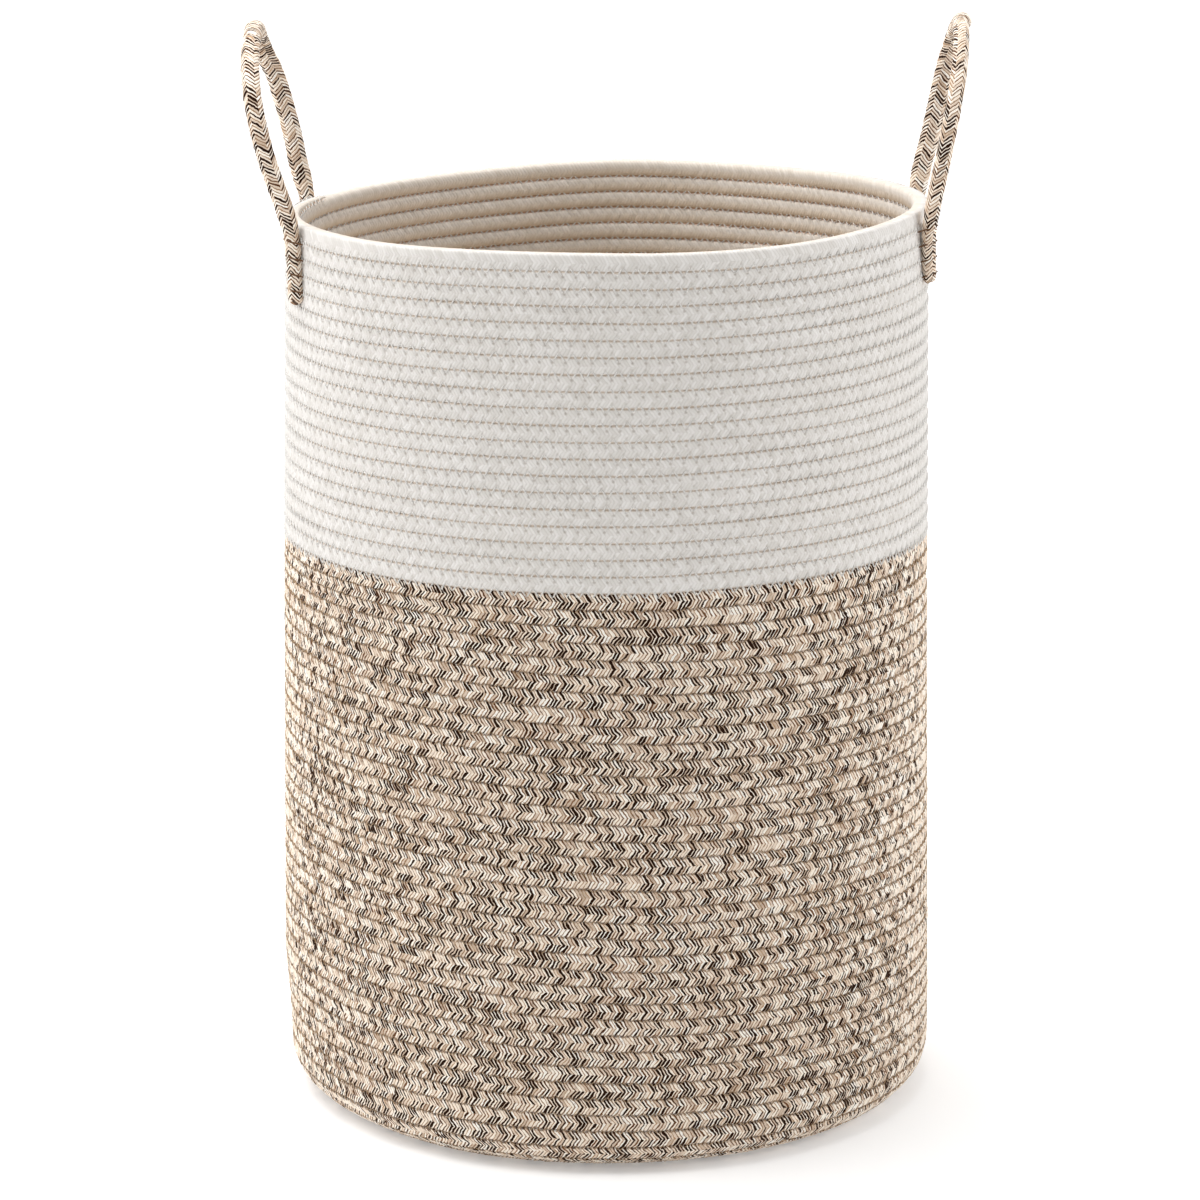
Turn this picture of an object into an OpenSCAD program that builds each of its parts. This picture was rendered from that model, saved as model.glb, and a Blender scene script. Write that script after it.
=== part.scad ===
// Tall coiled-rope laundry basket with two standing rope handles.
// Millimetres, +Z up. The origin is the centre of the underside, on the floor.
// The rope is laid in a flat spiral for the base, turns up at the heel and climbs the wall.
// Every course is sewn to the one below it. The two handles hinge where they leave the rim.

/* [Rope] */
// Height of one sewn course of rope
course_h = 9.45; // [7:0.05:12]
// Thickness of the sewn rope through the wall
rope_t = 9; // [6:0.1:12]
// Diameter of the handle rope
handle_rope_d = 9.6; // [7:0.1:12]

/* [Body] */
// Outside diameter just above the heel
heel_d = 388; // [300:1:480]
// Outside diameter at the rim
rim_d = 372; // [290:1:470]
// Outside radius of the turn between base and wall
heel_r = 25; // [15:1:40]
// Courses of mottled rope on the wall, above the heel
lower_courses = 33; // [6:1:45]
// Courses of white rope under the rim course
upper_courses = 19; // [6:1:30]

/* [Handles] */
// Half the distance between the left handle's legs
left_half_span = 72; // [58:1:90]
// Half the distance between the right handle's legs
right_half_span = 57; // [54:1:90]
// Height of a handle loop above its hinge line, along the loop
loop_h = 101; // [70:1:130]
// Centreline radius of a loop's upper corners
loop_corner_r = 50; // [20:1:52]
// How far a standing loop reaches out from the basket's axis
loop_reach = 207.5; // [200:0.5:225]
// Length of each leg that is sewn down the wall, under the rim
sewn_leg = 43; // [20:1:80]

/* [Hidden] */
$fn = 96;

MOTTLED = [0.74, 0.66, 0.57];
WHITE = [0.93, 0.91, 0.88];
THREAD = [0.72, 0.58, 0.43];
LEFT = -1;
RIGHT = 1;
FRONT = -1;
REAR = 1;

// One course's outline, as [distance along the wall, depth below the crest].
groove = 1.6;
lip = 0.35;
shoulder = 1.6;
crest = 3.2;
COURSE = [
    [0, groove], [shoulder, lip], [crest, 0],
    [course_h - crest, 0], [course_h - shoulder, lip]
];
// The thread fills this share of a groove's slope.
thread_fill = 0.62;

heel_courses = 4;
heel_rad = heel_d / 2;
rim_rad = rim_d / 2;
base_rad = heel_rad - heel_r;
base_courses = round(base_rad / course_h);
base_step = base_rad / base_courses;
wall_z = heel_r;
colour_z = wall_z + lower_courses * course_h;
rim_z = colour_z + upper_courses * course_h;
top_z = rim_z + course_h;

// The legs' centres stand on this circle, pressed a little into the wall.
leg_r = handle_rope_d / 2;
leg_press = 0.8;
leg_circle = rim_rad + leg_r - leg_press;
// The hinge line is high enough for a loop to lie flat over the rim.
hinge_z = top_z + leg_r + 1.2;
leg_foot_z = top_z - sewn_leg;
// A loop starts this far from its hinge line, clear of the leg's round top.
loop_gap = leg_r + 0.4;
tack_r = 0.55;
tacks = 4;

function wall_rad(z) = heel_rad + (rim_rad - heel_rad) * (z - wall_z) / (top_z - wall_z);
function outer_point(z, depth) = [wall_rad(z) - depth, z];
function inner_point(z, depth) = [wall_rad(z) - rope_t + depth, z];
// A point on the heel: angle 0 is underneath and 90 is level with the wall.
function heel_point(angle, radius) =
    [base_rad + radius * sin(angle), heel_r - radius * cos(angle)];
function heel_angle(along) = along * 90 / (heel_courses * course_h);
function leg_x(half_span) = sqrt(pow(leg_circle, 2) - pow(half_span, 2));
function lean(half_span) = asin((loop_reach - leg_x(half_span) - leg_r) / loop_h);
function half_span(side) = side == LEFT ? left_half_span : right_half_span;
function mix(a, b, share) = a + (b - a) * share;
function reversed(list) = [for (i = [len(list) - 1:-1:0]) list[i]];

// A stretch of wall: a closed ring of courses, scalloped inside and out.
module wall_band(z_low, courses) {
    z_high = z_low + courses * course_h;
    steps = [for (i = [0:courses - 1], p = COURSE) [z_low + i * course_h + p[0], p[1]]];
    outer = [for (s = steps) outer_point(s[0], s[1])];
    inner = [for (s = reversed(steps)) inner_point(s[0], s[1])];
    rotate_extrude()
        polygon(concat(outer, [outer_point(z_high, groove), inner_point(z_high, groove)], inner));
}

// A ring of thread in the groove whose bottom is mid; low and high are its two slopes' ends.
module thread_ring(mid, low, high) {
    rotate_extrude()
        polygon([mid, mix(mid, high, thread_fill), mix(mid, low, thread_fill)]);
}

module wall_threads(z_low, courses) {
    for (i = [0:courses - 1]) {
        z = z_low + i * course_h;
        thread_ring(
            outer_point(z, groove), outer_point(z - shoulder, lip), outer_point(z + shoulder, lip)
        );
    }
}

module base_coil() {
    steps = [for (i = [0:base_courses - 1], p = COURSE) [(i + p[0] / course_h) * base_step, p[1]]];
    inside = [for (s = steps) if (s[0] > shoulder) [s[0], rope_t - s[1]]];
    color(MOTTLED) rotate_extrude()
        polygon(concat([[0, 0], [0, rope_t]], inside, [[base_rad, rope_t - groove], [base_rad, 0]]));
}

module heel_coil() {
    steps = [for (i = [0:heel_courses - 1], p = COURSE) [i * course_h + p[0], p[1]]];
    outer = [for (s = steps) heel_point(heel_angle(s[0]), heel_r - s[1])];
    inner = [for (s = reversed(steps)) heel_point(heel_angle(s[0]), heel_r - rope_t + s[1])];
    ends = [heel_point(90, heel_r - groove), heel_point(90, heel_r - rope_t + groove)];
    color(MOTTLED) rotate_extrude() polygon(concat(outer, ends, inner));
}

module lower_wall_coil() {
    color(MOTTLED) wall_band(wall_z, lower_courses);
}

module upper_wall_coil() {
    color(WHITE) wall_band(colour_z, upper_courses);
}

module rim_course() {
    color(WHITE) wall_band(rim_z, 1);
}

module base_seam_thread() {
    color(THREAD) for (i = [1:base_courses - 1]) {
        r = i * base_step;
        reach = shoulder * base_step / course_h;
        thread_ring([r, rope_t - groove], [r + reach, rope_t - lip], [r - reach, rope_t - lip]);
    }
}

module heel_seam_thread() {
    color(THREAD) for (i = [1:heel_courses - 1]) {
        at = i * course_h;
        thread_ring(
            heel_point(heel_angle(at), heel_r - groove),
            heel_point(heel_angle(at - shoulder), heel_r - lip),
            heel_point(heel_angle(at + shoulder), heel_r - lip)
        );
    }
}

module lower_seam_thread() {
    color(THREAD) wall_threads(wall_z + course_h, lower_courses - 1);
}

module upper_seam_thread() {
    color(THREAD) wall_threads(colour_z, upper_courses + 1);
}

// The room that the wall's crests take, cut away from whatever is sewn to it.
module wall_room() {
    translate([0, 0, wall_z])
        cylinder(h = top_z - wall_z, r1 = heel_rad, r2 = rim_rad, $fn = 192);
}

module at_leg(side, end) {
    translate([side * leg_x(half_span(side)), end * half_span(side), 0]) children();
}

module sewn_leg_rope(side, end) {
    color(MOTTLED) difference() {
        at_leg(side, end) {
            translate([0, 0, leg_foot_z + leg_r]) {
                sphere(r = leg_r);
                cylinder(h = hinge_z - leg_foot_z - leg_r, r = leg_r);
            }
            translate([0, 0, hinge_z]) sphere(r = leg_r);
        }
        wall_room();
    }
}

// Overcast stitches: one hoop of thread round the leg at each of the top seams.
module leg_tacks(side, end) {
    color(THREAD) difference() {
        at_leg(side, end)
            for (i = [0:tacks - 1])
                translate([0, 0, rim_z - i * course_h])
                    rotate_extrude() translate([leg_r + tack_r, 0]) circle(r = tack_r, $fn = 24);
        wall_room();
    }
}

// A loop stands on its hinge line: two straight legs, two round corners and a straight top.
module handle_loop(side) {
    span = half_span(side);
    straight = loop_h - loop_corner_r;
    color(MOTTLED) translate([side * leg_x(span), 0, hinge_z]) rotate([0, side * lean(span), 0]) {
        for (end = [FRONT, REAR]) {
            translate([0, end * span, loop_gap]) cylinder(h = straight - loop_gap, r = leg_r);
            translate([0, end * (span - loop_corner_r), straight])
                rotate([90, 0, 90]) rotate(end == REAR ? 0 : 90)
                    rotate_extrude(angle = 90) translate([loop_corner_r, 0]) circle(r = leg_r);
        }
        translate([0, loop_corner_r - span, loop_h])
            rotate([-90, 0, 0]) cylinder(h = 2 * (span - loop_corner_r), r = leg_r);
    }
}

module left_front_leg() { sewn_leg_rope(LEFT, FRONT); }
module left_rear_leg() { sewn_leg_rope(LEFT, REAR); }
module right_front_leg() { sewn_leg_rope(RIGHT, FRONT); }
module right_rear_leg() { sewn_leg_rope(RIGHT, REAR); }
module left_front_tacks() { leg_tacks(LEFT, FRONT); }
module left_rear_tacks() { leg_tacks(LEFT, REAR); }
module right_front_tacks() { leg_tacks(RIGHT, FRONT); }
module right_rear_tacks() { leg_tacks(RIGHT, REAR); }
module left_handle_loop() { handle_loop(LEFT); }
module right_handle_loop() { handle_loop(RIGHT); }

base_coil();
heel_coil();
lower_wall_coil();
upper_wall_coil();
rim_course();
base_seam_thread();
heel_seam_thread();
lower_seam_thread();
upper_seam_thread();
left_front_leg();
left_rear_leg();
right_front_leg();
right_rear_leg();
left_front_tacks();
left_rear_tacks();
right_front_tacks();
right_rear_tacks();
left_handle_loop();
right_handle_loop();
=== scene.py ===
"""Looks for the coiled-rope laundry basket: braided rope, stitching, handles, light and camera."""

import math
from typing import NamedTuple

import bpy
import numpy as np
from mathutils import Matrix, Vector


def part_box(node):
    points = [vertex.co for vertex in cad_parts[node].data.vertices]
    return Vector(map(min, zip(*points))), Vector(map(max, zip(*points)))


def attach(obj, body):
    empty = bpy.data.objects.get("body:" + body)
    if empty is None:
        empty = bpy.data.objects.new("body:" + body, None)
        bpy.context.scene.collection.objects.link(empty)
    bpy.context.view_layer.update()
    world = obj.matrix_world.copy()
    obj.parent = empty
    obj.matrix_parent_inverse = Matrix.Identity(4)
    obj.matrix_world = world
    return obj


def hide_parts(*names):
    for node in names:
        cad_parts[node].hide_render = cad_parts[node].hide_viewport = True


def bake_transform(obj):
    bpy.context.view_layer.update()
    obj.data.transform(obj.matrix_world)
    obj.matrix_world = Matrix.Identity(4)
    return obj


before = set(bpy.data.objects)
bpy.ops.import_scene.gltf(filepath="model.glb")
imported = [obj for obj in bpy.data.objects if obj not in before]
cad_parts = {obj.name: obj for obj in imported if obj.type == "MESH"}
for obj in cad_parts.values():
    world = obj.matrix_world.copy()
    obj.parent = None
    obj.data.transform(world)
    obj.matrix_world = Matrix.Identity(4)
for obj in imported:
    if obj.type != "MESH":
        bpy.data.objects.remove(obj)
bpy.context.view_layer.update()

MM = 0.001
FRONT = -math.pi / 2
random = np.random.default_rng(11)


# ---------------------------------------------------------------- camera

CAMERA_AT = (-0.0034, -2.6903, 0.9435)
CAMERA_DIPS = math.radians(13.67)

camera_data = bpy.data.cameras.new("camera")
camera_data.lens = 140
camera_data.sensor_width = 36
camera = bpy.data.objects.new("camera", camera_data)
camera.location = CAMERA_AT
camera.rotation_euler = (math.pi / 2 - CAMERA_DIPS, 0, 0)
bpy.context.collection.objects.link(camera)
bpy.context.scene.camera = camera


# ---------------------------------------------------------------- sizes from the frame

base_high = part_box("base_coil")[1]
heel_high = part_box("heel_coil")[1]
rim_low, rim_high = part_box("rim_course")
colour_change_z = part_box("upper_wall_coil")[0][2]

ROPE_T = base_high[2]
COURSE = rim_high[2] - rim_low[2]
BASE_R = base_high[0]
HEEL_R = heel_high[2]
HEEL_OUT = heel_high[0]
RIM_OUT = rim_high[0]
RIM_Z = rim_high[2]

# Places along the rope are turn counts from the middle of the base: the flat spiral comes
# first, then the turn-up and the wall.
CENTRE_TURN = 0.5
BASE_TURNS = BASE_R / COURSE
HEEL_TURNS = 3.66
WALL_START = BASE_TURNS + HEEL_TURNS
RIM_END_ANGLE = math.radians(159)

# The seam where the colour changes is this far above the frame's, at the middle of the front.
COLOUR_SEAM_RISE = 1.2 * MM
LOWER_TURNS = (colour_change_z + COLOUR_SEAM_RISE - HEEL_R) / COURSE
COLOUR_TURN = WALL_START + LOWER_TURNS - 0.5
START_ANGLE = FRONT + 2 * math.pi * (COLOUR_TURN % 1)
WHITE_TURNS = 20
FRONT_RIM_TURN = COLOUR_TURN + WHITE_TURNS
END_TURN = FRONT_RIM_TURN + (FRONT - (RIM_END_ANGLE - 2 * math.pi)) / (2 * math.pi)
# The white rope takes over at the back, nearly half a turn after the front.
SPLICE_TURN = COLOUR_TURN + 0.42


def smooth(x, low, high):
    """0 below low, 1 above high, and a soft step between them."""
    t = np.clip((x - low) / (high - low), 0, 1)
    return t * t * (3 - 2 * t)


# ---------------------------------------------------------------- the rope's course

def course_line(turn):
    """Radius and height of the middle of the wall at a turn count, and its outward normal."""
    lay_r = HEEL_R - ROPE_T / 2
    bend = np.clip((turn - BASE_TURNS) / HEEL_TURNS, 0, 1) * math.pi / 2
    above = np.maximum(turn - WALL_START, 0) * COURSE
    wall_share = above / (RIM_Z - HEEL_R)
    flat_r = np.minimum(turn, BASE_TURNS) * COURSE
    r = flat_r + lay_r * np.sin(bend) + (RIM_OUT - HEEL_OUT) * wall_share
    z = ROPE_T / 2 + lay_r * (1 - np.cos(bend)) + above
    return r, z, np.sin(bend), -np.cos(bend)


def angle_at(turn):
    """The rope climbs clockwise, seen from above."""
    return START_ANGLE - 2 * math.pi * turn


def spot(turn, across, out):
    """The point at a turn count, moved across towards the next course and out of the wall."""
    r, z, normal_r, normal_z = course_line(turn)
    radial = r + across * -normal_z + out * normal_r
    height = z + across * normal_r + out * normal_z
    angle = angle_at(turn)
    return np.stack([radial * np.cos(angle), radial * np.sin(angle), height], -1)


TABLE_TURNS = np.linspace(0, END_TURN + 1, 40000)
TABLE_RUN = np.concatenate([[0], np.cumsum(
    2 * math.pi * np.diff(TABLE_TURNS)
    * (course_line(TABLE_TURNS)[0][1:] + course_line(TABLE_TURNS)[0][:-1]) / 2
)])


def run_at(turn):
    """Metres of rope from the middle of the base to a turn count."""
    return np.interp(turn, TABLE_TURNS, TABLE_RUN)


def turn_after(run):
    """The turn count after so many metres of rope."""
    return np.interp(run, TABLE_RUN, TABLE_TURNS)


# Two soft upright fold lines stand out from the wall, with a shallow hollow at each side.
FOLD_ANGLES = (FRONT + math.radians(8.5), FRONT + math.radians(179))
FOLD_WIDTH = math.radians(10)
FOLD_RISE = 2.2 * MM
HOLLOW_SHARE = 0.35
HOLLOW_WIDTH = 0.55
# The wall is out of round: three waves all the way up, and five near the rim.
WALL_WAVE = 0.9 * MM
HIGH_WAVE = 1.1 * MM
# The heel's left side is pressed in this far.
LEFT_TUCK = 4.4 * MM
# The seams on the right stand this much higher than the middle: at the heel, at the colour
# change and at the rim, each added to the one before.
HEEL_TILT = -4.6 * MM
COLOUR_TILT = 7.6 * MM
RIM_TILT = 0.9 * MM
# The rim's middle and its back stand higher, and it has four waves.
RIM_RISE = 0.85 * MM
BACK_RISE = 1.85 * MM
RIM_WAVE = 0.7 * MM
# It sags a little at the right of its back.
RIM_DIP = 2.0 * MM
DIP_ANGLE = math.radians(62)
DIP_WIDTH = math.radians(24)


def settle(points):
    """The basket as sewn and shipped: tilted seams, two soft fold lines and a wavy rim."""
    x, y, z = points[..., 0], points[..., 1], points[..., 2]
    r = np.hypot(x, y)
    angle = np.arctan2(y, x)
    wall = smooth(z, 0.01, 0.07) * smooth(r, 0.10, 0.16)
    high = smooth(z, 0.30, 0.53)
    push = np.zeros_like(z)
    for fold in FOLD_ANGLES:
        off = np.abs((angle - fold + math.pi) % (2 * math.pi) - math.pi)
        hollow = HOLLOW_SHARE * np.exp(-(off / HOLLOW_WIDTH) ** 2)
        push = push + FOLD_RISE * (np.exp(-off / FOLD_WIDTH) - hollow)
    push = push + WALL_WAVE * np.cos(3 * angle + 0.6 + 3 * z)
    push = push + high * HIGH_WAVE * np.cos(5 * angle - 0.4)
    side = x / HEEL_OUT
    tuck = smooth(-side, 0.3, 0.95) * (1 - smooth(z, 0.025, 0.085)) * smooth(r, 0.12, 0.18)
    push = push * wall - LEFT_TUCK * tuck
    rise = HEEL_TILT * smooth(z, 0.010, 0.110) + COLOUR_TILT * smooth(z, 0.300, 0.345)
    rise = (rise + RIM_TILT * smooth(z, 0.345, RIM_Z)) * side
    rise = rise + smooth(z, 0.40, RIM_Z) * (RIM_RISE + BACK_RISE * y / HEEL_OUT)
    rise = rise + smooth(z, 0.42, RIM_Z) * RIM_WAVE * np.cos(4 * angle + 0.9)
    dip = RIM_DIP * np.exp(-((angle - DIP_ANGLE) / DIP_WIDTH) ** 2)
    rise = rise - smooth(z, 0.38, RIM_Z) * dip
    scale = 1 + push / np.maximum(r, 0.05)
    return np.stack([x * scale, y * scale, z + rise * smooth(r, 0.12, 0.17)], -1)


# ---------------------------------------------------------------- mesh helpers

def add_mesh(name, points, faces, sizes, corner_data=None):
    """One object from flat arrays: faces lists the corners' vertices, and sizes their counts."""
    mesh = bpy.data.meshes.new(name)
    mesh.vertices.add(len(points))
    mesh.vertices.foreach_set("co", np.ascontiguousarray(points, np.float32).ravel())
    mesh.loops.add(len(faces))
    mesh.loops.foreach_set("vertex_index", np.ascontiguousarray(faces, np.int32))
    mesh.polygons.add(len(sizes))
    starts = np.concatenate([[0], np.cumsum(sizes)[:-1]]).astype(np.int32)
    mesh.polygons.foreach_set("loop_start", starts)
    mesh.polygons.foreach_set("use_smooth", np.ones(len(sizes), bool))
    for key, values in (corner_data or {}).items():
        layer = mesh.attributes.new(key, "FLOAT_VECTOR", "CORNER")
        layer.data.foreach_set("vector", np.ascontiguousarray(values, np.float32).ravel())
    mesh.update(calc_edges=True)
    mesh.validate()
    thing = bpy.data.objects.new(name, mesh)
    bpy.context.collection.objects.link(thing)
    return thing


def tube_faces(rings, places):
    """Corner vertices of a closed tube's faces, and the corners of each face."""
    k, j = np.meshgrid(np.arange(rings - 1), np.arange(places), indexing="ij")
    after = (j + 1) % places
    quads = np.stack([k * places + j, k * places + after,
                      (k + 1) * places + after, (k + 1) * places + j], -1).reshape(-1)
    ends = [np.arange(places)[::-1], (rings - 1) * places + np.arange(places)]
    return np.concatenate([quads, *ends]), np.append(np.full(len(quads) // 4, 4), [places, places])


def add_tube(name, grid, tables=None):
    """A closed tube through a grid of points, rings by places round.

    Each table holds a vector for each corner, and has a column more than the grid.
    """
    rings, places = grid.shape[:2]
    faces, sizes = tube_faces(rings, places)
    data = {}
    for key, table in (tables or {}).items():
        corners = np.stack([table[:-1, :-1], table[:-1, 1:], table[1:, 1:], table[1:, :-1]], 2)
        ends = [table[0, :-1][::-1], table[-1, :-1]]
        data[key] = np.concatenate([corners.reshape(-1, 3), *ends])
    return add_mesh(name, grid.reshape(-1, 3), faces, sizes, data)


def add_tubes(name, grids):
    """Several closed tubes as one object."""
    parts = []
    count = 0
    for grid in grids:
        faces, sizes = tube_faces(*grid.shape[:2])
        parts.append((grid.reshape(-1, 3), faces + count, sizes))
        count += grid.shape[0] * grid.shape[1]
    return add_mesh(name, *(np.concatenate(group) for group in zip(*parts)))


# ---------------------------------------------------------------- braided rope

YARN = 2.1 * MM
RINGS_PER_YARN = 2
RING_GAP = YARN / RINGS_PER_YARN
# The angle between a yarn and the rope's own direction.
LAY = math.radians(57)
STITCH = 7.2 * MM
# The needle holes are this far from the seam.
HOLE_OFF = 2.8 * MM
HOLE_R = 1.3 * MM
# The holes at a course's lower edge have this share of the strength of those at its upper one.
LOW_HOLES = 0.45
# How far the rope's outside and its edges wander, and over what length.
OUT_WANDER = 0.22 * MM
OUT_WANDER_RUN = 38 * MM
ACROSS_WANDER = 0.16 * MM
ACROSS_WANDER_RUN = 55 * MM


class Section:
    """A pressed rope's cross-section, as places round it.

    A place runs from -3 to 3: 0 is the outer crest, 1 an outer edge, 2 an inner edge and 3 the
    inner crest. The braid's arms turn back at every whole number, and skew follows them. The
    two powers set how square the outer and the inner face are.
    """

    def __init__(self, half_across, half_out, outer_power, inner_power, places):
        places = np.asarray(places, float)
        inside = np.abs(places) > 1.5
        share = np.where(inside, np.sign(places) * (3 - np.abs(places)), places)
        power = np.where(inside, inner_power, outer_power)
        self.place = np.append(places, places[0] + 6)
        self.across = share * half_across
        self.out = np.where(inside, -1, 1) * half_out * (1 - np.abs(share) ** power) ** (1 / power)
        size = np.hypot(self.across / half_across, self.out / half_out)
        self.push_across = self.across / half_across / size
        self.push_out = self.out / half_out / size
        self.skew = np.abs((places + 1) % 2 - 1) * half_across / math.tan(LAY)


OUTER_PLACES = (0.24, 0.5, 0.74, 0.92)
INNER_PLACES = (2.08, 2.34, 2.66)
ONE_SIDE = OUTER_PLACES + INNER_PLACES
WALL_PLACES = sorted([-p for p in ONE_SIDE] + [0, 3] + list(ONE_SIDE))
MOTTLED_SECTION = Section(5.25 * MM, ROPE_T / 2, 5.8, 3.2, WALL_PLACES)
WHITE_SECTION = Section(5.35 * MM, ROPE_T / 2, 6.5, 3.2, WALL_PLACES)


# A random number for each yarn on each of the braid's six arms.
yarn_noise = random.uniform(-1, 1, (36007, 6))
out_seed, across_seed = random.standard_normal((2, 4096))


def wave(seed, x):
    """A smooth line through random knots."""
    at = np.mod(x, len(seed) - 2)
    i = at.astype(int)
    f = at - i
    f = f * f * (3 - 2 * f)
    return 0.6 * (seed[i] * (1 - f) + seed[i + 1] * f)


def hole_depth(phase, across, hole_across):
    """How much of a needle hole's dimple is at a place: 1 in the hole, 0 away from it."""
    along = ((phase % 1) - 0.5) * STITCH
    return np.exp(-(along ** 2 + (across - hole_across) ** 2) / HOLE_R ** 2)


def add_wall_rope(name, first, last, section, groove, dimple, end_taper=0):
    """The coiled rope from one turn count to another, as one closed tube.

    groove is the depth between two yarns, dimple that of a needle hole, and end_taper the
    length over which the rope thins out to its end.
    """
    k = np.arange(round(run_at(first) / RING_GAP), round(run_at(last) / RING_GAP) + 1)
    run = k[:, None] * RING_GAP + section.skew[None, :]
    turn = turn_after(run)
    half = COURSE / 2
    across = np.repeat(section.across[None, :], len(k), 0)
    out = np.repeat(section.out[None, :], len(k), 0)
    yarn_random = yarn_noise[(k // RINGS_PER_YARN) % len(yarn_noise)]
    arm_index = np.floor(section.place[:-1] + 3 + 1e-6).astype(int) % 6
    crest = np.where(k % RINGS_PER_YARN == 0, -groove, 0)[:, None]
    relief = crest + 0.3 * groove * yarn_random[:, arm_index]
    up = run_at(turn) / STITCH
    down = run_at(turn - 1) / STITCH + 0.5
    sewn_above = turn < END_TURN - 1
    up = np.where(sewn_above, up, 0)
    hole = (hole_depth(up, across, half - HOLE_OFF)
            + LOW_HOLES * hole_depth(down, across, HOLE_OFF - half))
    relief = relief - dimple * hole
    wander = OUT_WANDER * wave(out_seed, run / OUT_WANDER_RUN)
    out = out + relief * section.push_out + wander
    edge = across / half
    edge = np.where(sewn_above, edge, np.minimum(edge, 0.8))
    wander = ACROSS_WANDER * wave(across_seed, run / ACROSS_WANDER_RUN)
    across = across + relief * section.push_across * 0.3 + wander
    if end_taper:
        # The end gets thin and low, and lies on the course below.
        left = np.clip((run_at(last) - run) / end_taper, 0, 1)
        keep = 0.2 + 0.8 * smooth(left, -0.15, 1)
        out = out * (0.35 + 0.65 * keep)
        across = (across + half) * keep - half - 1.0 * MM * (1 - keep)
        down = np.where(left < 0.95, 0, down)
    grid = settle(spot(turn, across, out))
    lay = np.zeros((len(k), len(section.place), 3))
    lay[..., 0] = (k / RINGS_PER_YARN)[:, None]
    lay[..., 1] = section.place + 3
    sew = np.stack([up, down, edge], -1)
    sew = np.concatenate([sew, sew[:, :1]], 1)
    return add_tube(name, grid, {"lay": lay, "sew": sew})


# ---------------------------------------------------------------- stitching

HALF_STITCH = STITCH / 2


class Stitch:
    """One stroke of a zigzag thread, from a needle hole across the seam to the next one.

    reach is how far it goes from the seam, and face is 1 outside and -1 inside. depths pairs a
    share of the stroke with the thread's height over the rope there. Lengths but reach are mm.
    """

    def __init__(self, radius, reach, face, *depths):
        self.radius = radius * MM
        self.reach = reach
        self.face = face
        self.share, self.depth = np.array(depths).T


SHORT_REACH = 0.6 * HOLE_OFF
WHITE_OUTER = Stitch(0.5, HOLE_OFF, 1, (0.0, -1.2), (0.2, 0.0), (0.5, 0.0), (0.8, 0.0))
MOTTLED_OUTER = Stitch(
    0.35, SHORT_REACH, 1, (0.0, -1.2), (0.25, -0.15), (0.5, -0.35), (0.75, -0.15)
)
BOTH_INNER = Stitch(0.35, SHORT_REACH, -1, (0.0, -1.4), (0.3, -0.6), (0.7, -0.6))
THREAD_CORNERS = np.array([0.5, 0.5 + 2 / 3, 0.5 + 4 / 3]) * math.pi


def unit(vectors):
    """The same directions, each one long."""
    return vectors / np.linalg.norm(vectors, axis=1, keepdims=True)


def ring_grid(line, sideways, outward, radius, corners):
    """Rings of a thread round a line, one point for each corner angle."""
    return line[:, None] + radius * (np.cos(corners)[:, None] * sideways[:, None]
                                     + np.sin(corners)[:, None] * outward[:, None])


def add_thread(name, first, last, stitch):
    """A zigzag thread along the seam above each course."""
    whole = np.arange(math.ceil(run_at(first) / HALF_STITCH), run_at(last) // HALF_STITCH)
    run = ((whole[:, None] + stitch.share) * HALF_STITCH).ravel()
    sign = np.where(whole % 2 == 0, 1, -1)[:, None]
    side = (sign * (1 - 2 * stitch.share)).ravel() * stitch.reach
    out = stitch.face * (ROPE_T / 2 + np.tile(stitch.depth, len(whole)) * MM)
    middle = settle(thread_spot(turn_after(run), side, out))
    along = unit(np.gradient(middle, axis=0))
    outward = settle(thread_spot(turn_after(run), side, out + stitch.face * MM)) - middle
    sideways = unit(np.cross(along, outward))
    outward = np.cross(sideways, along)
    return add_tube(name, ring_grid(middle, sideways, outward, stitch.radius, THREAD_CORNERS))


def thread_spot(turn, side, out):
    """A point over the seam above a course, which lies half a course up the wall."""
    shift = 0.5 + side / COURSE
    r, z, normal_r, normal_z = course_line(turn + shift)
    angle = angle_at(turn)
    radial = r + out * normal_r
    height = z + out * normal_z
    return np.stack([radial * np.cos(angle), radial * np.sin(angle), height], -1)


# ---------------------------------------------------------------- materials

BUMP_DEPTH = 0.3 * MM
# How fine the noise is, from a tint that drifts over the basket to single fibres.
CLOUD_NOISE = 18
DRIFT_NOISE = 60
WANDER_NOISE = 210
FUZZ_NOISE = 620
ROUGHNESS_NOISE = 900
FLECK_NOISE = 1400
FIBRE_NOISE = 2600
THREAD_NOISE = 3200


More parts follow.
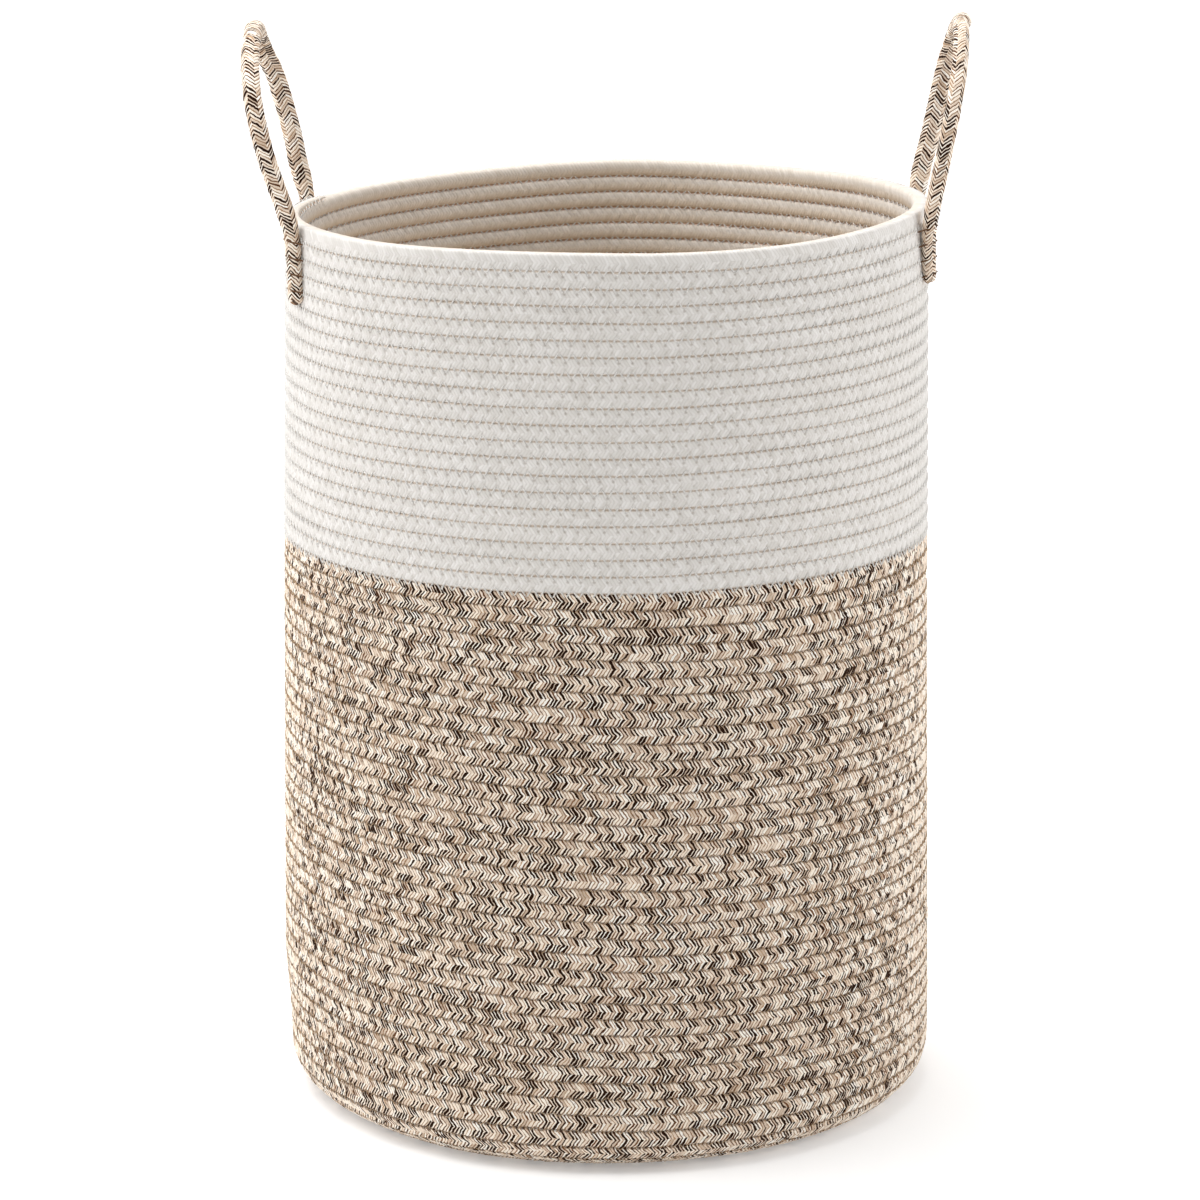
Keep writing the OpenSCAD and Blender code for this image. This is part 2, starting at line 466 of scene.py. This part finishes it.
class Graph:
    """Short calls for building a material's nodes."""

    def __init__(self, name):
        self.material = bpy.data.materials.new(name)
        self.material.use_nodes = True
        self.tree = self.material.node_tree
        self.shader = self.tree.nodes["Principled BSDF"]

    def add(self, kind, inputs=(), **settings):
        """A new node. inputs holds a number, a colour or another node's output for a socket."""
        new = self.tree.nodes.new(kind)
        for key, value in settings.items():
            setattr(new, key, value)
        for key, value in dict(inputs).items():
            self.put(value, new.inputs[key])
        return new

    def put(self, value, socket):
        if isinstance(value, bpy.types.NodeSocket):
            self.tree.links.new(value, socket)
        else:
            socket.default_value = value

    def maths(self, operation, *values, clamp=False):
        inputs = dict(enumerate(values))
        return self.add("ShaderNodeMath", inputs, operation=operation, use_clamp=clamp).outputs[0]

    def ramp(self, value, stops):
        new = self.add("ShaderNodeValToRGB", {0: value})
        while len(new.color_ramp.elements) < len(stops):
            new.color_ramp.elements.new(0.5)
        for element, (at, colour) in zip(new.color_ramp.elements, stops):
            element.position = at
            element.color = (*colour, 1)
        return new.outputs[0]

    def mix(self, share, a, b):
        inputs = {0: share, 6: a, 7: b}
        return self.add("ShaderNodeMix", inputs, data_type="RGBA").outputs[2]

    def between(self, value, low, high, most=1.0):
        """0 at low, most at high, and even steps between them."""
        inputs = {0: value, 1: low, 2: high, 3: 0.0, 4: most}
        return self.add("ShaderNodeMapRange", inputs).outputs[0]

    def noise(self, scale, detail=2.0):
        place = self.add("ShaderNodeTexCoord").outputs["Object"]
        inputs = {"Scale": scale, "Detail": detail, "Vector": place}
        return self.add("ShaderNodeTexNoise", inputs).outputs["Fac"]

    def random(self, x, y, z):
        place = self.add("ShaderNodeCombineXYZ", {0: x, 1: y, 2: z}).outputs[0]
        return self.add("ShaderNodeTexWhiteNoise", {"Vector": place}).outputs["Value"]

    def cloth(self, colour, height, roughness, bump, sheen):
        self.put(colour, self.shader.inputs["Base Color"])
        inputs = {"Strength": bump, "Distance": BUMP_DEPTH, "Height": height}
        self.put(self.add("ShaderNodeBump", inputs).outputs[0], self.shader.inputs["Normal"])
        self.put(roughness, self.shader.inputs["Roughness"])
        self.shader.inputs["Sheen Weight"].default_value = sheen
        self.shader.inputs["Sheen Roughness"].default_value = 0.4
        self.shader.inputs["Specular IOR Level"].default_value = 0.2
        return self.material


def linear(red, green, blue):
    """A screen colour, 0 to 255, as the linear values that a shader takes."""
    return tuple(((c / 255 + 0.055) / 1.055) ** 2.4 if c > 10 else c / 255 / 12.92
                 for c in (red, green, blue))


def solid(red, green, blue):
    """The same, for a colour socket."""
    return (*linear(red, green, blue), 1)


def yarn_parts(g, fuzziness):
    """The braid's own places: which yarn and arm, how near the yarn's edge, and which side."""
    lay = g.add("ShaderNodeAttribute", attribute_name="lay").outputs["Vector"]
    split = g.add("ShaderNodeSeparateXYZ", {0: lay}).outputs
    fuzz = g.maths("MULTIPLY", g.maths("SUBTRACT", g.noise(FUZZ_NOISE), 0.5), fuzziness)
    wander = g.maths("SUBTRACT", g.noise(WANDER_NOISE, 1), 0.5)
    wander = g.maths("MULTIPLY", wander, 2.6 * fuzziness)
    yarn = g.maths("ADD", g.maths("ADD", split[0], fuzz), wander)
    place = g.maths("FLOORED_MODULO", split[1], 6)
    off_middle = g.maths("ABSOLUTE", g.maths("SUBTRACT", g.maths("FRACT", yarn), 0.5))
    off_crest = g.maths("ABSOLUTE", g.maths("SUBTRACT", place, 3))
    return {
        "yarn": g.maths("FLOOR", yarn),
        "next": g.maths("ROUND", yarn),
        "arm": g.maths("FLOOR", place),
        "edge": g.maths("MULTIPLY", off_middle, 2),
        "inside": g.between(off_crest, 1.4, 1.6),
    }


def yarn_height(g, yarn):
    """A round crown on each yarn, with fibres on it, for the bump."""
    crown = g.maths("SUBTRACT", 1, g.maths("POWER", yarn["edge"], 2.5))
    fibres = g.maths("MULTIPLY", g.noise(FIBRE_NOISE, 3), 0.5)
    return g.maths("ADD", crown, fibres)


def cotton_roughness(g):
    """Matte, and a little uneven."""
    inputs = {0: g.noise(ROUGHNESS_NOISE), 3: 0.82, 4: 0.95}
    return g.add("ShaderNodeMapRange", inputs).outputs[0]


def needle_holes(g):
    """How much a place is in a needle hole and a seam (painted shade), and low on its course
    (painted warm light).
    """
    sew = g.add("ShaderNodeAttribute", attribute_name="sew").outputs["Vector"]
    up, down, edge = g.add("ShaderNodeSeparateXYZ", {0: sew}).outputs
    half = COURSE / 2 / MM
    holes = []
    seams = []
    for phase, side, strength in ((up, 1, 1.0), (down, -1, LOW_HOLES)):
        height = g.maths("MULTIPLY", edge, side)
        # The distance from the hole is in millimetres.
        along = g.maths("SUBTRACT", g.maths("FRACT", phase), 0.5)
        along = g.maths("MULTIPLY", along, STITCH / MM)
        off = g.maths("SUBTRACT", g.maths("MULTIPLY", height, half), half - HOLE_OFF / MM)
        far = g.maths("SQRT", g.maths("ADD", g.maths("MULTIPLY", along, along),
                                      g.maths("MULTIPLY", off, off)))
        holes.append(g.between(far, 1.2, 0.35, strength))
        # The thread's strokes cross the seam twice in a stitch, and hide its painted shade there.
        crossing = g.maths("FRACT", g.maths("MULTIPLY", phase, 2))
        off_stroke = g.maths("ABSOLUTE", g.maths("SUBTRACT", crossing, 0.5))
        open_seam = g.between(off_stroke, 0.1, 0.28)
        seams.append(g.maths("MULTIPLY", g.between(height, 0.81, 0.93), open_seam))
    low = g.between(edge, 0.35, -0.75)
    return g.maths("MAXIMUM", *holes), g.maths("MAXIMUM", *seams), low


def mottled_rope(name, sewn=True, paler=0.0):
    """Cream and beige yarns, with dark brown and nearly black lines between them: partly dark
    yarns, partly painted shade in the gaps between yarns. When sewn, painted shade darkens seams
    and holes.

    Whole numbers and a half tell one random choice from another. A dark line starts at a share
    of the yarn's half width, and how wide and how dark it is goes together.
    """
    g = Graph(name)
    yarn = yarn_parts(g, 0.4)
    drift = g.maths("MULTIPLY", g.maths("SUBTRACT", g.noise(DRIFT_NOISE, 1), 0.5), 0.2)
    pale = g.maths("ADD", g.random(yarn["yarn"], yarn["arm"], 1.5), drift)
    body = g.ramp(pale, [
        (0.0, linear(202, 180, 158)), (0.15, linear(228, 209, 190)), (0.4, linear(244, 228, 210)),
        (0.7, linear(253, 241, 225)), (1.0, linear(255, 250, 241)),
    ])
    # The dark line at each yarn's edge: partly dark yarns, partly painted shade in the gap between
    # yarns.
    gap = g.maths("ADD", g.random(yarn["next"], yarn["arm"], 4.5), drift)
    gap = g.maths("ADD", gap, paler)
    dark = g.ramp(gap, [
        (0.0, linear(34, 13, 3)), (0.34, linear(44, 21, 8)), (0.48, linear(100, 62, 36)),
        (0.75, linear(142, 103, 70)), (1.0, linear(188, 152, 116)),
    ])
    narrow = g.random(yarn["next"], yarn["arm"], 9.5)
    narrow = g.maths("MULTIPLY_ADD", narrow, 0.3, gap, clamp=True)
    start = g.maths("ADD", g.between(narrow, 0.05, 0.9, 0.6), 0.06)
    share = g.between(yarn["edge"], start, g.maths("ADD", start, 0.16))
    colour = g.mix(share, body, dark)
    if sewn:
        holes, seam, _ = needle_holes(g)
        # Painted shade: the seam crease is darkened to brown, broken at random, and the needle
        # holes are darkened.
        broken_seam_shade = g.maths("MULTIPLY", seam, g.random(yarn["yarn"], yarn["arm"], 6.5))
        colour = g.mix(g.maths("MULTIPLY", broken_seam_shade, 0.9), colour, solid(70, 44, 28))
        colour = g.mix(g.maths("MULTIPLY", holes, 0.3), colour, solid(70, 50, 36))
    g.shader.inputs["Sheen Tint"].default_value = (1.0, 0.74, 0.54, 1)
    g.shader.inputs["Specular Tint"].default_value = (1.0, 0.6, 0.4, 1)
    return g.cloth(colour, yarn_height(g, yarn), cotton_roughness(g), 0.8, 0.19)


def white_rope(name):
    """Natural white cotton, with painted shade between yarns, painted tan shade at seams and
    needle holes, and painted warm bounce light on the inner face.
    """
    g = Graph(name)
    yarn = yarn_parts(g, 0.3)
    single = g.random(yarn["yarn"], yarn["arm"], 2.5)
    base = g.ramp(single, [(0.0, linear(214, 210, 205)), (1.0, linear(232, 229, 226))])
    cloud = g.maths("MULTIPLY", g.noise(CLOUD_NOISE, 2), 0.35)
    base = g.mix(cloud, base, solid(214, 208, 200))
    # Painted shade in the gaps between yarns, darker towards each yarn's edge.
    line = g.maths("MULTIPLY", g.maths("POWER", yarn["edge"], 3), 0.22)
    colour = g.mix(line, base, solid(180, 170, 158))
    holes, seam, low = needle_holes(g)
    # Painted warm bounce light on the inner face, strongest on the lower part of each course.
    painted_warm_bounce = g.maths("MULTIPLY", yarn["inside"], g.maths("MULTIPLY_ADD", low, 0.42, 0.2))
    colour = g.mix(painted_warm_bounce, colour, solid(226, 194, 150))
    # Painted tan shade in the seam crease, more orange on the inner face; the thread's strokes
    # break it.
    seam_shade_colour = g.mix(yarn["inside"], solid(182, 156, 126), solid(184, 124, 74))
    colour = g.mix(g.maths("MULTIPLY", seam, 0.52), colour, seam_shade_colour)
    # Painted shade in the needle holes, fainter on the inner face.
    faint = g.maths("MULTIPLY_ADD", yarn["inside"], -0.35, 0.5)
    colour = g.mix(g.maths("MULTIPLY", holes, faint), colour, solid(150, 136, 122))
    return g.cloth(colour, yarn_height(g, yarn), cotton_roughness(g), 0.6, 0.1)


def sewing_thread(name, colour):
    """Twisted thread: even in colour, with fine fibres."""
    g = Graph(name)
    dull = tuple(c * 0.72 for c in colour)
    flecks = g.ramp(g.noise(FLECK_NOISE), [(0.35, dull), (0.65, colour)])
    return g.cloth(flecks, g.noise(THREAD_NOISE), 0.8, 0.4, 0.2)


mottled = mottled_rope("mottled_cotton_rope")
handle_mottled = mottled_rope("mottled_handle_rope", sewn=False, paler=0.07)
white = white_rope("white_cotton_rope")
tan_thread = sewing_thread("tan_thread", linear(176, 146, 112))
cream_thread = sewing_thread("cream_thread", linear(238, 235, 230))
dark_thread = sewing_thread("dark_thread", linear(112, 82, 58))


# ---------------------------------------------------------------- the basket

MOTTLED_GROOVE = 0.75 * MM
MOTTLED_DIMPLE = 0.2 * MM
WHITE_GROOVE = 0.17 * MM
WHITE_DIMPLE = 0.7 * MM
WHITE_BANDS = 4
END_TAPER = 180 * MM


def dress(piece, material, body="basket"):
    """Gives a piece its material and slot, and the body that it rides on, if there is one."""
    piece.data.materials.append(material)
    if body:
        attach(piece, body)
    return piece


def bands(first, last, count):
    """A stretch of rope in a few equal parts, so that no piece has too many faces."""
    edges = np.linspace(first, last, count + 1)
    return list(zip(edges[:-1], edges[1:]))


rope_pieces = {"base": [], "heel": [], "lower": [], "upper": []}
for key, first, last, count in (
    ("base", CENTRE_TURN, BASE_TURNS, 2),
    ("heel", BASE_TURNS, WALL_START, 1),
    ("lower", WALL_START, SPLICE_TURN, 6),
):
    for i, (a, b) in enumerate(bands(first, last, count)):
        name = f"{key}_mottled_rope_{i + 1}"
        piece = add_wall_rope(name, a, b, MOTTLED_SECTION, MOTTLED_GROOVE, MOTTLED_DIMPLE)
        rope_pieces[key].append(dress(piece, mottled))
for i, (a, b) in enumerate(bands(SPLICE_TURN, END_TURN, WHITE_BANDS)):
    taper = END_TAPER if i == WHITE_BANDS - 1 else 0
    name = f"upper_white_rope_{i + 1}"
    piece = add_wall_rope(name, a, b, WHITE_SECTION, WHITE_GROOVE, WHITE_DIMPLE, taper)
    rope_pieces["upper"].append(dress(piece, white))

thread_pieces = {"base": [], "heel": [], "lower": [], "upper": []}
for key, first, last, count, material, outer in (
    ("base", 1, BASE_TURNS - 0.5, 1, tan_thread, MOTTLED_OUTER),
    ("heel", BASE_TURNS - 0.5, WALL_START - 0.5, 1, tan_thread, MOTTLED_OUTER),
    ("lower", WALL_START - 0.5, COLOUR_TURN - 0.6, 2, tan_thread, MOTTLED_OUTER),
    ("upper", COLOUR_TURN - 0.6, END_TURN - 1, 1, cream_thread, WHITE_OUTER),
):
    for i, (a, b) in enumerate(bands(first, last, count)):
        for side, stitch in (("outer", outer), ("inner", BOTH_INNER)):
            piece = add_thread(f"{key}_{side}_thread_{i + 1}", a, b, stitch)
            thread_pieces[key].append(dress(piece, material))

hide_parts("base_coil")
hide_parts("heel_coil")
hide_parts("lower_wall_coil")
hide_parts("upper_wall_coil")
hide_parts("rim_course")
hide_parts("base_seam_thread")
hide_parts("heel_seam_thread")
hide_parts("lower_seam_thread")
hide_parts("upper_seam_thread")


# ---------------------------------------------------------------- handles

HANDLE_RINGS_PER_YARN = 4
HANDLE_PLACES = 36
HANDLE_YARN = 2.3 * MM
HANDLE_LAY = math.radians(48)
# How deep the groove between two yarns is, and how much the yarns differ in height.
HANDLE_GROOVE = 0.42 * MM
HANDLE_LUMPS = 0.14 * MM


class HandleShape(NamedTuple):
    """How a handle's rope lies, where that differs from a plain loop. Lengths are in metres."""

    # How far it stands off the wall where it leaves it, how it curls up, and its extra reach.
    stand_off: float
    curl: float
    more_reach: float
    # How far its sewn feet turn in, how much lower they end, and how much lower its top is.
    feet_in: float
    feet_down: float
    top_down: float
    # How far inwards its rear half hangs, halfway up and at the top.
    rear_in: float
    rear_top_in: float
    # How thick the front half and the sewn legs are through the wall. A round rope's is 1.
    front_thick: float
    leg_thick: float


HANDLE_SHAPES = {
    "left": HandleShape(
        stand_off=4.9 * MM, curl=1.75, more_reach=-0.7 * MM,
        feet_in=0, feet_down=6 * MM, top_down=4.5 * MM,
        rear_in=4 * MM, rear_top_in=-2.4 * MM, front_thick=1.1, leg_thick=0.98,
    ),
    "right": HandleShape(
        stand_off=4.4 * MM, curl=1.15, more_reach=0.6 * MM,
        feet_in=17 * MM, feet_down=-1.5 * MM, top_down=-0.5 * MM,
        rear_in=-1.2 * MM, rear_top_in=-3 * MM, front_thick=0.96, leg_thick=0.88,
    ),
}
# How thick the loops' rear halves are, and how wide both loops are along the wall.
REAR_THICK = 1.2
LOOP_WIDE = 1.1
CORNER_R = 50 * MM
# The sewn legs' pressed shape fades into the loop's over this far under the hinge line.
BEND_HALF = 12 * MM
# The right handle's yarns are other ones than the left handle's.
RIGHT_YARNS = 500
RIGHT_LUMPS = 900


def rounded(points, step):
    """A smooth line through given points, at even steps, and its length."""
    points = np.asarray(points, float)
    dense = []
    padded = np.concatenate([[2 * points[0] - points[1]], points, [2 * points[-1] - points[-2]]])
    for a, b, c, d in zip(padded, padded[1:], padded[2:], padded[3:]):
        t = np.linspace(0, 1, 40, endpoint=False)[:, None]
        dense.append(0.5 * ((2 * b) + (c - a) * t + (2 * a - 5 * b + 4 * c - d) * t ** 2
                            + (3 * b - a - 3 * c + d) * t ** 3))
    line = np.concatenate(dense + [points[-1:]])
    for _ in range(60):
        line[1:-1] = 0.5 * line[1:-1] + 0.25 * (line[:-2] + line[2:])
    gone = np.concatenate([[0], np.cumsum(np.linalg.norm(np.diff(line, axis=0), axis=1))])
    at = np.arange(0, gone[-1], step)
    return np.stack([np.interp(at, gone, line[:, i]) for i in range(3)], -1), gone[-1]


def handle_line(side, name):
    """The rope's middle: up one sewn leg, out and round the loop, and down the other."""
    front_low, front_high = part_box(f"{name}_front_leg")
    loop_low, loop_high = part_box(f"{name}_handle_loop")
    shape = HANDLE_SHAPES[name]
    rope_r = (front_high[1] - front_low[1]) / 2
    leg_y = -(front_low[1] + front_high[1]) / 2
    leg_x = max(abs(front_low[0]), abs(front_high[0])) - rope_r
    reach = max(abs(loop_low[0]), abs(loop_high[0])) - rope_r + shape.more_reach
    top = loop_high[2] - rope_r - shape.top_down
    foot = front_low[2] + 0.5 * rope_r - shape.feet_down
    hinge = front_high[2] - rope_r
    rise = top - hinge

    def lean(share):
        """How far out the loop is at a share of its height."""
        start = leg_x + shape.stand_off
        return start + (reach - start) * (1 - (1 - share) ** shape.curl)

    half = []
    for share, up in ((0.05, 0), (0.1, 0.33), (0.35, 0.66), (0.8, 0.9)):
        at_y = leg_y - shape.feet_in * (1 - up)
        on_wall = math.sqrt(leg_x ** 2 + leg_y ** 2 - at_y ** 2)
        half.append((on_wall + share * shape.stand_off, at_y, foot + up * (hinge - foot)))
    for share in (0.08, 0.25, 0.42):
        half.append((lean(share), leg_y, hinge + share * rise))
    for bend in (20, 42, 64, 82):
        up = 1 - (1 - math.sin(math.radians(bend))) * CORNER_R / rise
        in_y = leg_y - CORNER_R * (1 - math.cos(math.radians(bend)))
        half.append((lean(up), in_y, hinge + up * rise))
    other = []
    for x, y, z in reversed(half):
        share = (z - hinge) / rise
        inwards = shape.rear_in * smooth(share, 0, 0.35)
        inwards += (shape.rear_top_in - shape.rear_in) * smooth(share, 0.55, 0.95)
        other.append((x - inwards, -y, z))
    whole = [(side * x, -y, z) for x, y, z in half + other]
    return whole, rope_r, hinge


def add_handle(side, name):
    """One handle's braided rope, with relief on its yarns. Its middle line comes back too."""
    shape = HANDLE_SHAPES[name]
    points, rope_r, hinge = handle_line(side, name)
    step = HANDLE_YARN / HANDLE_RINGS_PER_YARN
    line, length = rounded(points, step)
    along = unit(np.gradient(line, axis=0))
    outward = unit(np.array([side, 0, 0]) - along * (along @ np.array([side, 0, 0]))[:, None])
    across = np.cross(along, outward)
    places = np.linspace(-3, 3, HANDLE_PLACES, endpoint=False)
    around = places * math.pi / 3
    skew = np.abs((places + 1) % 2 - 1) * rope_r * math.pi / 3 / math.tan(HANDLE_LAY)
    k = np.arange(len(line))
    rings = np.minimum(k[:, None] + skew[None, :] / step, len(line) - 1)
    i = np.minimum(rings.astype(int), len(line) - 2)
    f = (rings - i)[..., None]

    def at(values):
        return values[i] * (1 - f) + values[i + 1] * f

    phase = (k % HANDLE_RINGS_PER_YARN) / HANDLE_RINGS_PER_YARN
    plump = -HANDLE_GROOVE * (np.abs(2 * phase - 1) ** 3)[:, None]
    lumps = yarn_noise[k // HANDLE_RINGS_PER_YARN + (RIGHT_LUMPS if side > 0 else 0)]
    lumps = lumps[:, np.floor(places + 3 + 1e-6).astype(int) % 6] * HANDLE_LUMPS
    run = rings * step
    end = np.minimum(run, length - run)
    size = np.sqrt(np.clip(1 - (1 - np.clip(end / rope_r, 0, 1)) ** 2, 0.03, 1))
    pressed = 1 - smooth(at(line)[..., 2], hinge - BEND_HALF, hinge)
    radius = (rope_r + plump + lumps) * size
    to_rear = smooth(at(line)[..., 1], -20 * MM, 30 * MM)
    thick = shape.front_thick + (REAR_THICK - shape.front_thick) * to_rear
    out = radius * np.cos(around) * (thick + (shape.leg_thick - thick) * pressed)
    wide = radius * np.sin(around) * (LOOP_WIDE - 0.02 * pressed)
    grid = at(line) + out[..., None] * at(outward) + wide[..., None] * at(across)
    lay = np.zeros((len(k), HANDLE_PLACES + 1, 3))
    lay[..., 0] = (k / HANDLE_RINGS_PER_YARN)[:, None] + (RIGHT_YARNS if side > 0 else 0)
    lay[..., 1] = np.append(places, 3) + 3
    piece = add_tube(f"{name}_handle_rope", grid, {"lay": lay})
    dress(piece, handle_mottled, body=None)
    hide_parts(f"{name}_front_leg", f"{name}_rear_leg", f"{name}_handle_loop")
    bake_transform(piece)
    return line, rope_r


TACKS = 4
TACK_R = 0.5 * MM
# A tack's way from under the leg round its edge, as places to the side, out and up. The leg's
# radius is 1.
TACK_PLACES = (
    (1.35, -1.25, -0.35), (1.22, -0.75, -0.2), (1.1, -0.1, 0.0),
    (0.92, 0.52, 0.15), (0.62, 0.86, 0.3), (0.42, 0.8, 0.38),
)
TACK_CORNERS = np.linspace(0, 2 * math.pi, 8, endpoint=False)


def thread_tube(points, radius):
    """Rings of a round thread through a few points."""
    line = rounded(points, 0.35 * MM)[0]
    along = unit(np.gradient(line, axis=0))
    sideways = unit(np.cross(along, [0, 0, 1.0]))
    return ring_grid(line, sideways, np.cross(sideways, along), radius, TACK_CORNERS)


def add_tacks(name, line, rope_r):
    """Whip stitches at both edges of a sewn leg, one pair at each of the top seams."""
    grids = []
    angle = math.atan2(line[0, 1], line[0, 0])
    last = END_TURN - 1
    turn = last - ((START_ANGLE - 2 * math.pi * last - angle) / (-2 * math.pi)) % 1
    for i in range(TACKS):
        seam = settle(thread_spot(np.array([turn - i]), np.zeros(1), np.array([ROPE_T / 2])))[0]
        centre = line[np.argmin(np.abs(line[:len(line) // 3, 2] - seam[2]))]
        out_way = np.array([centre[0], centre[1], 0]) / np.hypot(centre[0], centre[1])
        edge_way = np.cross([0, 0, 1.0], out_way)
        for edge in (-1, 1):
            points = []
            for wide, out, up in TACK_PLACES:
                point = centre + rope_r * (edge * wide * edge_way + out * out_way)
                point[2] = seam[2] + up * rope_r
                points.append(point)
            grids.append(thread_tube(points, TACK_R))
    return add_tubes(name, grids)


for side, name in ((-1, "left"), (1, "right")):
    handle, handle_r = add_handle(side, name)
    for end, legs in (("front", handle), ("rear", handle[::-1])):
        piece = add_tacks(f"{name}_{end}_tack_threads", legs, handle_r)
        dress(piece, dark_thread)
        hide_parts(f"{name}_{end}_tacks")


# ---------------------------------------------------------------- floor and light

def add_area(name, at, aim, size, power):
    """A soft white light at one point, turned to another."""
    data = bpy.data.lights.new(name, "AREA")
    data.shape = "RECTANGLE"
    data.size, data.size_y = size
    data.energy = power
    lamp = bpy.data.objects.new(name, data)
    lamp.location = at
    direction = np.array(aim) - np.array(at)
    lamp.rotation_euler = (
        math.atan2(math.hypot(direction[0], direction[1]), -direction[2]),
        0,
        math.atan2(direction[1], direction[0]) + math.pi / 2 + math.pi,
    )
    bpy.context.collection.objects.link(lamp)


# The floor glows towards the back, so that only the contact shadow shows there.
FLOOR_GLOW = {"From Min": -0.25, "From Max": 0.5, "To Min": 0.16, "To Max": 0.7}

pale_floor = Graph("pale_floor")
pale_floor.shader.inputs["Base Color"].default_value = (0.85, 0.85, 0.85, 1)
pale_floor.shader.inputs["Roughness"].default_value = 0.9
pale_floor.shader.inputs["Emission Color"].default_value = (1, 1, 1, 1)
floor_place = pale_floor.add("ShaderNodeTexCoord").outputs["Object"]
floor_y = pale_floor.add("ShaderNodeSeparateXYZ", {0: floor_place}).outputs["Y"]
floor_glow = pale_floor.add("ShaderNodeMapRange", {"Value": floor_y, **FLOOR_GLOW}).outputs[0]
pale_floor.put(floor_glow, pale_floor.shader.inputs["Emission Strength"])
bpy.ops.mesh.primitive_plane_add(size=30, location=(0, 0, -0.4 * MM))
floor = bpy.context.object
floor.name = "floor"
floor.data.materials.append(pale_floor.material)

world = bpy.data.worlds.new("studio")
world.use_nodes = True
sky = world.node_tree.nodes["Background"]
sky.inputs["Color"].default_value = (1, 1, 1, 1)
sky.inputs["Strength"].default_value = 0.61
bpy.context.scene.world = world
bpy.context.scene.view_settings.view_transform = "Standard"

add_area("top_softbox", (-0.7, 0.1, 2.6), (0, 0, 0.2), (2.2, 2.2), 62)
add_area("left_softbox", (-2.3, 0.1, 1.0), (0, 0, 0.3), (1.4, 1.8), 14)
add_area("right_softbox", (2.4, 0.1, 1.1), (0, 0, 0.3), (1.2, 1.6), 18)
